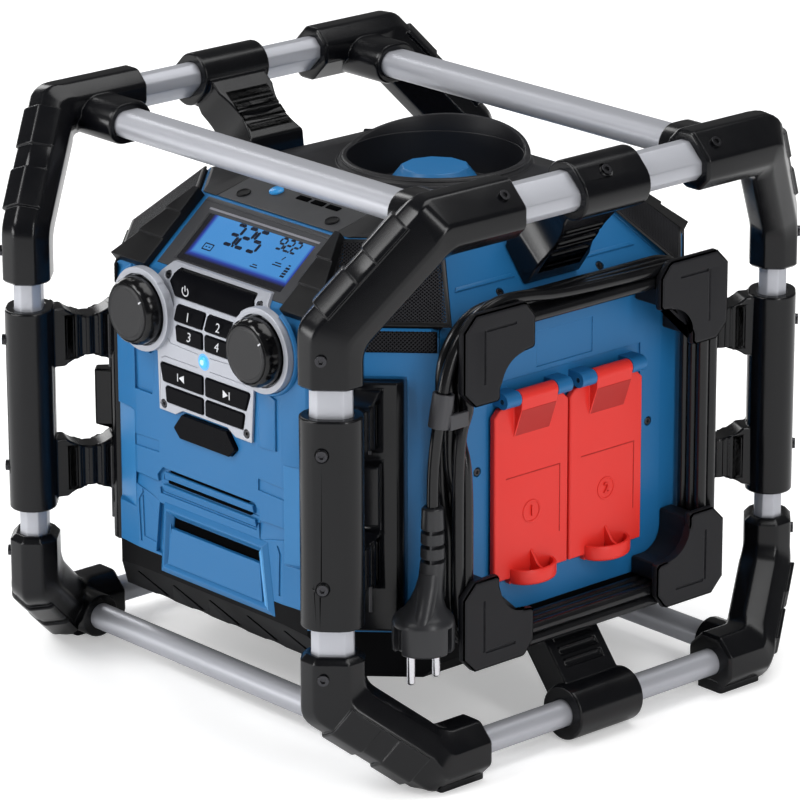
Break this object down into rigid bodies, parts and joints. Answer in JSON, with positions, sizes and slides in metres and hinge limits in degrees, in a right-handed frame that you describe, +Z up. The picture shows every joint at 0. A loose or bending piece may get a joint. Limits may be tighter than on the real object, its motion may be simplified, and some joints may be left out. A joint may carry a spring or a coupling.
{
  "type": "jobsite radio",
  "caption": "Mains and battery radio in a roll cage of tubes, with a tilted display, knobs and keys in front, covered outlets on one side and a cord wound on hooks.",
  "frame": {"origin": "on the floor, under the middle of the cage", "axes": "+X towards the outlet side, +Y towards the back, +Z up; the control face looks along -Y"},
  "size_m": [0.3646, 0.3814, 0.3481],
  "materials": {
    "cage_plastic": "fine moulded texture",
    "tube_metal": "satin anodised",
    "screw_steel": "zinc plated",
    "blue_shell": "satin moulded plastic",
    "black_shell": "satin moulded plastic",
    "grey_trim": "satin moulded plastic",
    "grille_mesh": "black perforated sheet",
    "screen": "clear window over a blue backlight",
    "plate_silver": "silver paint",
    "status_blue": "clear dome, lit blue",
    "key_black": "satin keys with plain marks",
    "knob_black": "satin",
    "cover_red": "satin moulded plastic",
    "socket_black": "satin",
    "cord_rubber": "smooth rubber sheath",
    "pin_metal": "nickel plated",
    "inner_parts": "plain",
    "driver_frame": "black paint",
    "cone_black": "coated paper"
  },
  "bodies": {
    "root": {"top_corners": "cage_plastic", "bottom_corners": "cage_plastic", "post_brackets": "cage_plastic", "top_brackets": "cage_plastic", "bottom_brackets": "cage_plastic", "post_tubes": "tube_metal", "side_tubes": "tube_metal", "cross_tubes": "tube_metal", "cage_screws": "screw_steel", "housing_screws": "screw_steel", "hinge_pins": "screw_steel", "front_housing": "blue_shell", "rear_housing": "blue_shell", "right_panel": "blue_shell", "left_panel": "blue_shell", "crown_hub": "blue_shell", "base_tray": "black_shell", "crown_cover": "black_shell", "corner_guards": "black_shell", "cord_hooks": "black_shell", "top_hatch": "grey_trim", "display_bezel": "grey_trim", "speaker_grilles": "grille_mesh", "display_window": "screen", "control_plate": "plate_silver", "status_lens": "status_blue", "outlet_sockets": "socket_black", "cord_winding": "cord_rubber", "cord_tail": "cord_rubber", "cord_clip": "cord_rubber", "cord_gland": "cord_rubber", "plug_body": "cord_rubber", "plug_pins": "pin_metal", "encoders": "inner_parts", "display_module": "inner_parts", "main_board": "inner_parts", "power_supply": "inner_parts", "battery_pack": "inner_parts", "speaker_baskets": "driver_frame", "subwoofer_basket": "driver_frame", "speaker_cones": "cone_black", "subwoofer_cone": "cone_black"},
    "power_button": {"power_button": "key_black"},
    "preset_key_1": {"preset_key_1": "key_black"},
    "preset_key_2": {"preset_key_2": "key_black"},
    "preset_key_3": {"preset_key_3": "key_black"},
    "preset_key_4": {"preset_key_4": "key_black"},
    "previous_key": {"previous_key": "key_black"},
    "next_key": {"next_key": "key_black"},
    "mute_key": {"mute_key": "key_black"},
    "equalizer_key": {"equalizer_key": "key_black"},
    "wireless_key": {"wireless_key": "key_black"},
    "left_knob": {"left_knob": "knob_black"},
    "right_knob": {"right_knob": "knob_black"},
    "outlet_cover_a": {"outlet_cover_a": "cover_red"},
    "outlet_cover_b": {"outlet_cover_b": "cover_red"},
    "battery_door": {"battery_door": "black_shell"},
    "battery_door_latch": {"battery_door_latch": "black_shell"},
    "media_door": {"media_door": "black_shell"},
    "media_door_latch": {"media_door_latch": "black_shell"}
  },
  "joints": [
    {"name": "power_button_press", "type": "slide", "parent": "root", "child": "power_button", "axis": [0, 1, 0], "range_m": [0, 0.0012], "stiffness_N_per_m": 300, "springref_m": -0.0005},
    {"name": "preset_key_1_press", "type": "slide", "parent": "root", "child": "preset_key_1", "axis": [0, 1, 0], "range_m": [0, 0.0012], "stiffness_N_per_m": 300, "springref_m": -0.0005},
    {"name": "preset_key_2_press", "type": "slide", "parent": "root", "child": "preset_key_2", "axis": [0, 1, 0], "range_m": [0, 0.0012], "stiffness_N_per_m": 300, "springref_m": -0.0005},
    {"name": "preset_key_3_press", "type": "slide", "parent": "root", "child": "preset_key_3", "axis": [0, 1, 0], "range_m": [0, 0.0012], "stiffness_N_per_m": 300, "springref_m": -0.0005},
    {"name": "preset_key_4_press", "type": "slide", "parent": "root", "child": "preset_key_4", "axis": [0, 1, 0], "range_m": [0, 0.0012], "stiffness_N_per_m": 300, "springref_m": -0.0005},
    {"name": "previous_key_press", "type": "slide", "parent": "root", "child": "previous_key", "axis": [0, 1, 0], "range_m": [0, 0.0012], "stiffness_N_per_m": 300, "springref_m": -0.0005},
    {"name": "next_key_press", "type": "slide", "parent": "root", "child": "next_key", "axis": [0, 1, 0], "range_m": [0, 0.0012], "stiffness_N_per_m": 300, "springref_m": -0.0005},
    {"name": "mute_key_press", "type": "slide", "parent": "root", "child": "mute_key", "axis": [0, 1, 0], "range_m": [0, 0.0012], "stiffness_N_per_m": 300, "springref_m": -0.0005},
    {"name": "equalizer_key_press", "type": "slide", "parent": "root", "child": "equalizer_key", "axis": [0, 1, 0], "range_m": [0, 0.0012], "stiffness_N_per_m": 300, "springref_m": -0.0005},
    {"name": "wireless_key_press", "type": "slide", "parent": "root", "child": "wireless_key", "axis": [0, 1, 0], "range_m": [0, 0.0012], "stiffness_N_per_m": 300, "springref_m": -0.0005},
    {"name": "left_knob_turn", "type": "hinge", "parent": "root", "child": "left_knob", "pos_m": [-0.053, -0.15, 0.238], "axis": [0, 1, 0], "continuous": true},
    {"name": "right_knob_turn", "type": "hinge", "parent": "root", "child": "right_knob", "pos_m": [0.053, -0.15, 0.238], "axis": [0, 1, 0], "continuous": true},
    {"name": "outlet_cover_a_lift", "type": "hinge", "parent": "root", "child": "outlet_cover_a", "pos_m": [0.1455, -0.0295, 0.208], "axis": [0, -1, 0], "range_deg": [0, 115]},
    {"name": "outlet_cover_b_lift", "type": "hinge", "parent": "root", "child": "outlet_cover_b", "pos_m": [0.1455, 0.0295, 0.208], "axis": [0, -1, 0], "range_deg": [0, 115]},
    {"name": "battery_door_swing", "type": "hinge", "parent": "root", "child": "battery_door", "pos_m": [0, 0.1547, 0.1074], "axis": [-1, 0, 0], "range_deg": [0, 100]},
    {"name": "battery_door_latch_swing", "type": "hinge", "parent": "battery_door", "child": "battery_door_latch", "pos_m": [0, 0.1579, 0.193], "axis": [-1, 0, 0], "range_deg": [0, 60]},
    {"name": "media_door_swing", "type": "hinge", "parent": "root", "child": "media_door", "pos_m": [-0.1432, 0, 0.1074], "axis": [0, -1, 0], "range_deg": [0, 100]},
    {"name": "media_door_latch_swing", "type": "hinge", "parent": "media_door", "child": "media_door_latch", "pos_m": [-0.1464, 0, 0.193], "axis": [0, -1, 0], "range_deg": [0, 60]}
  ]
}
